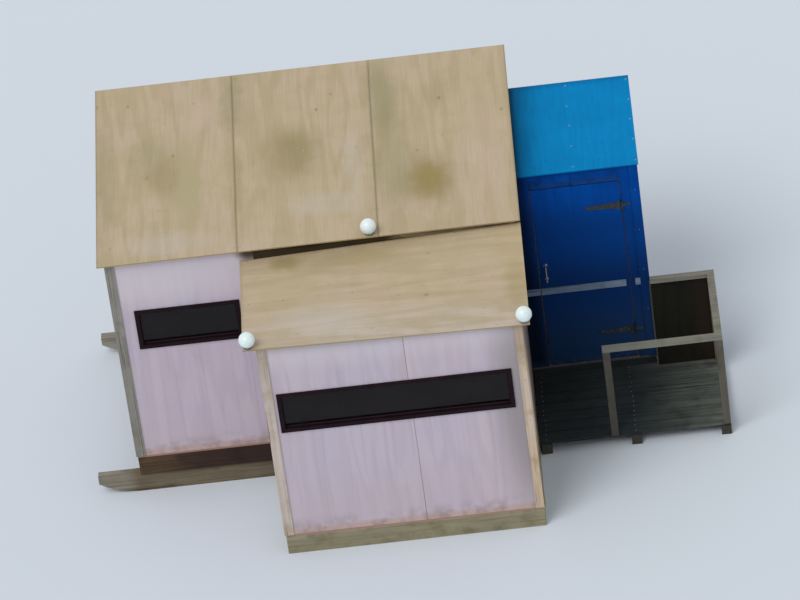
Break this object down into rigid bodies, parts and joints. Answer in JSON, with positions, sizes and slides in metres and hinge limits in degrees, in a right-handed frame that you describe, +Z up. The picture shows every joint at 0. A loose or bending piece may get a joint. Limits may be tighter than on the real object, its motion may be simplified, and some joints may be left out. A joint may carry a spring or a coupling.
{
  "type": "plywood ice fishing hut with entrance lobby and porch",
  "caption": "Pink plywood ice fishing hut on timber skids, with a lookout bay, slot windows, sloping roofs, a blue entrance lobby with a hinged door, and a railed porch.",
  "frame": {"origin": "middle of the hut's box in plan, on the ice it stands on", "axes": "+X to the right seen from the front, +Y to the back, +Z up"},
  "size_m": [5.586, 3.6234, 2.7181],
  "materials": {
    "pink_paint": "thin pale pink paint on plywood",
    "roof_plywood": "bare weathered plywood with water stains",
    "pale_trim": "pale painted boards",
    "bare_timber": "bare softwood and plywood indoors",
    "red_brown_paint": "worn red-brown stain",
    "weathered_timber": "grey-brown weathered softwood",
    "blue_paint": "deep blue gloss paint on plywood",
    "blue_roof": "bright blue painted plywood",
    "pale_batten": "pale blue-grey painted batten",
    "window_glass": "dark glass",
    "window_frame": "black painted wood",
    "hinge_steel": "dull galvanized steel",
    "lamp_globe": "white opal plastic"
  },
  "bodies": {
    "hut": {"skids": "weathered_timber", "floor_joists": "red_brown_paint", "main_floor": "bare_timber", "front_wall": "pink_paint", "back_wall": "pink_paint", "left_wall": "pink_paint", "right_wall": "pink_paint", "bay_header": "bare_timber", "rafters": "bare_timber", "roof_sheet_left": "roof_plywood", "roof_sheet_middle": "roof_plywood", "roof_sheet_right": "roof_plywood", "main_corner_boards": "pale_trim", "bay_sills": "weathered_timber", "bay_floor": "bare_timber", "bay_front_wall": "pink_paint", "bay_left_wall": "pink_paint", "bay_right_wall": "pink_paint", "bay_rafters": "bare_timber", "bay_roof_sheet": "roof_plywood", "bay_corner_boards": "pale_trim", "slot_frames": "window_frame", "slot_glass": "window_glass", "lobby_sills": "weathered_timber", "lobby_floor": "bare_timber", "lobby_back_wall": "blue_paint", "lobby_right_wall": "blue_paint", "lobby_front_left": "blue_paint", "lobby_front_right": "blue_paint", "lobby_front_header": "blue_paint", "lobby_rafters": "bare_timber", "lobby_roof_sheet": "blue_roof", "lobby_corner_boards": "blue_paint", "hinge_pins": "hinge_steel", "lobby_batten": "pale_batten", "porch_bearers": "weathered_timber", "porch_deck": "weathered_timber", "porch_posts": "weathered_timber", "porch_rails": "weathered_timber", "porch_panel": "weathered_timber", "lamps": "lamp_globe"},
    "door": {"door_leaf": "blue_paint", "door_hinges": "hinge_steel", "door_handle": "hinge_steel", "door_batten": "pale_batten"}
  },
  "joints": [
    {"name": "door_hinge", "type": "hinge", "parent": "hut", "child": "door", "pos_m": [2.054, 0.37076, 1.142], "axis": [0, 0, 1], "range_deg": [0, 110]}
  ]
}
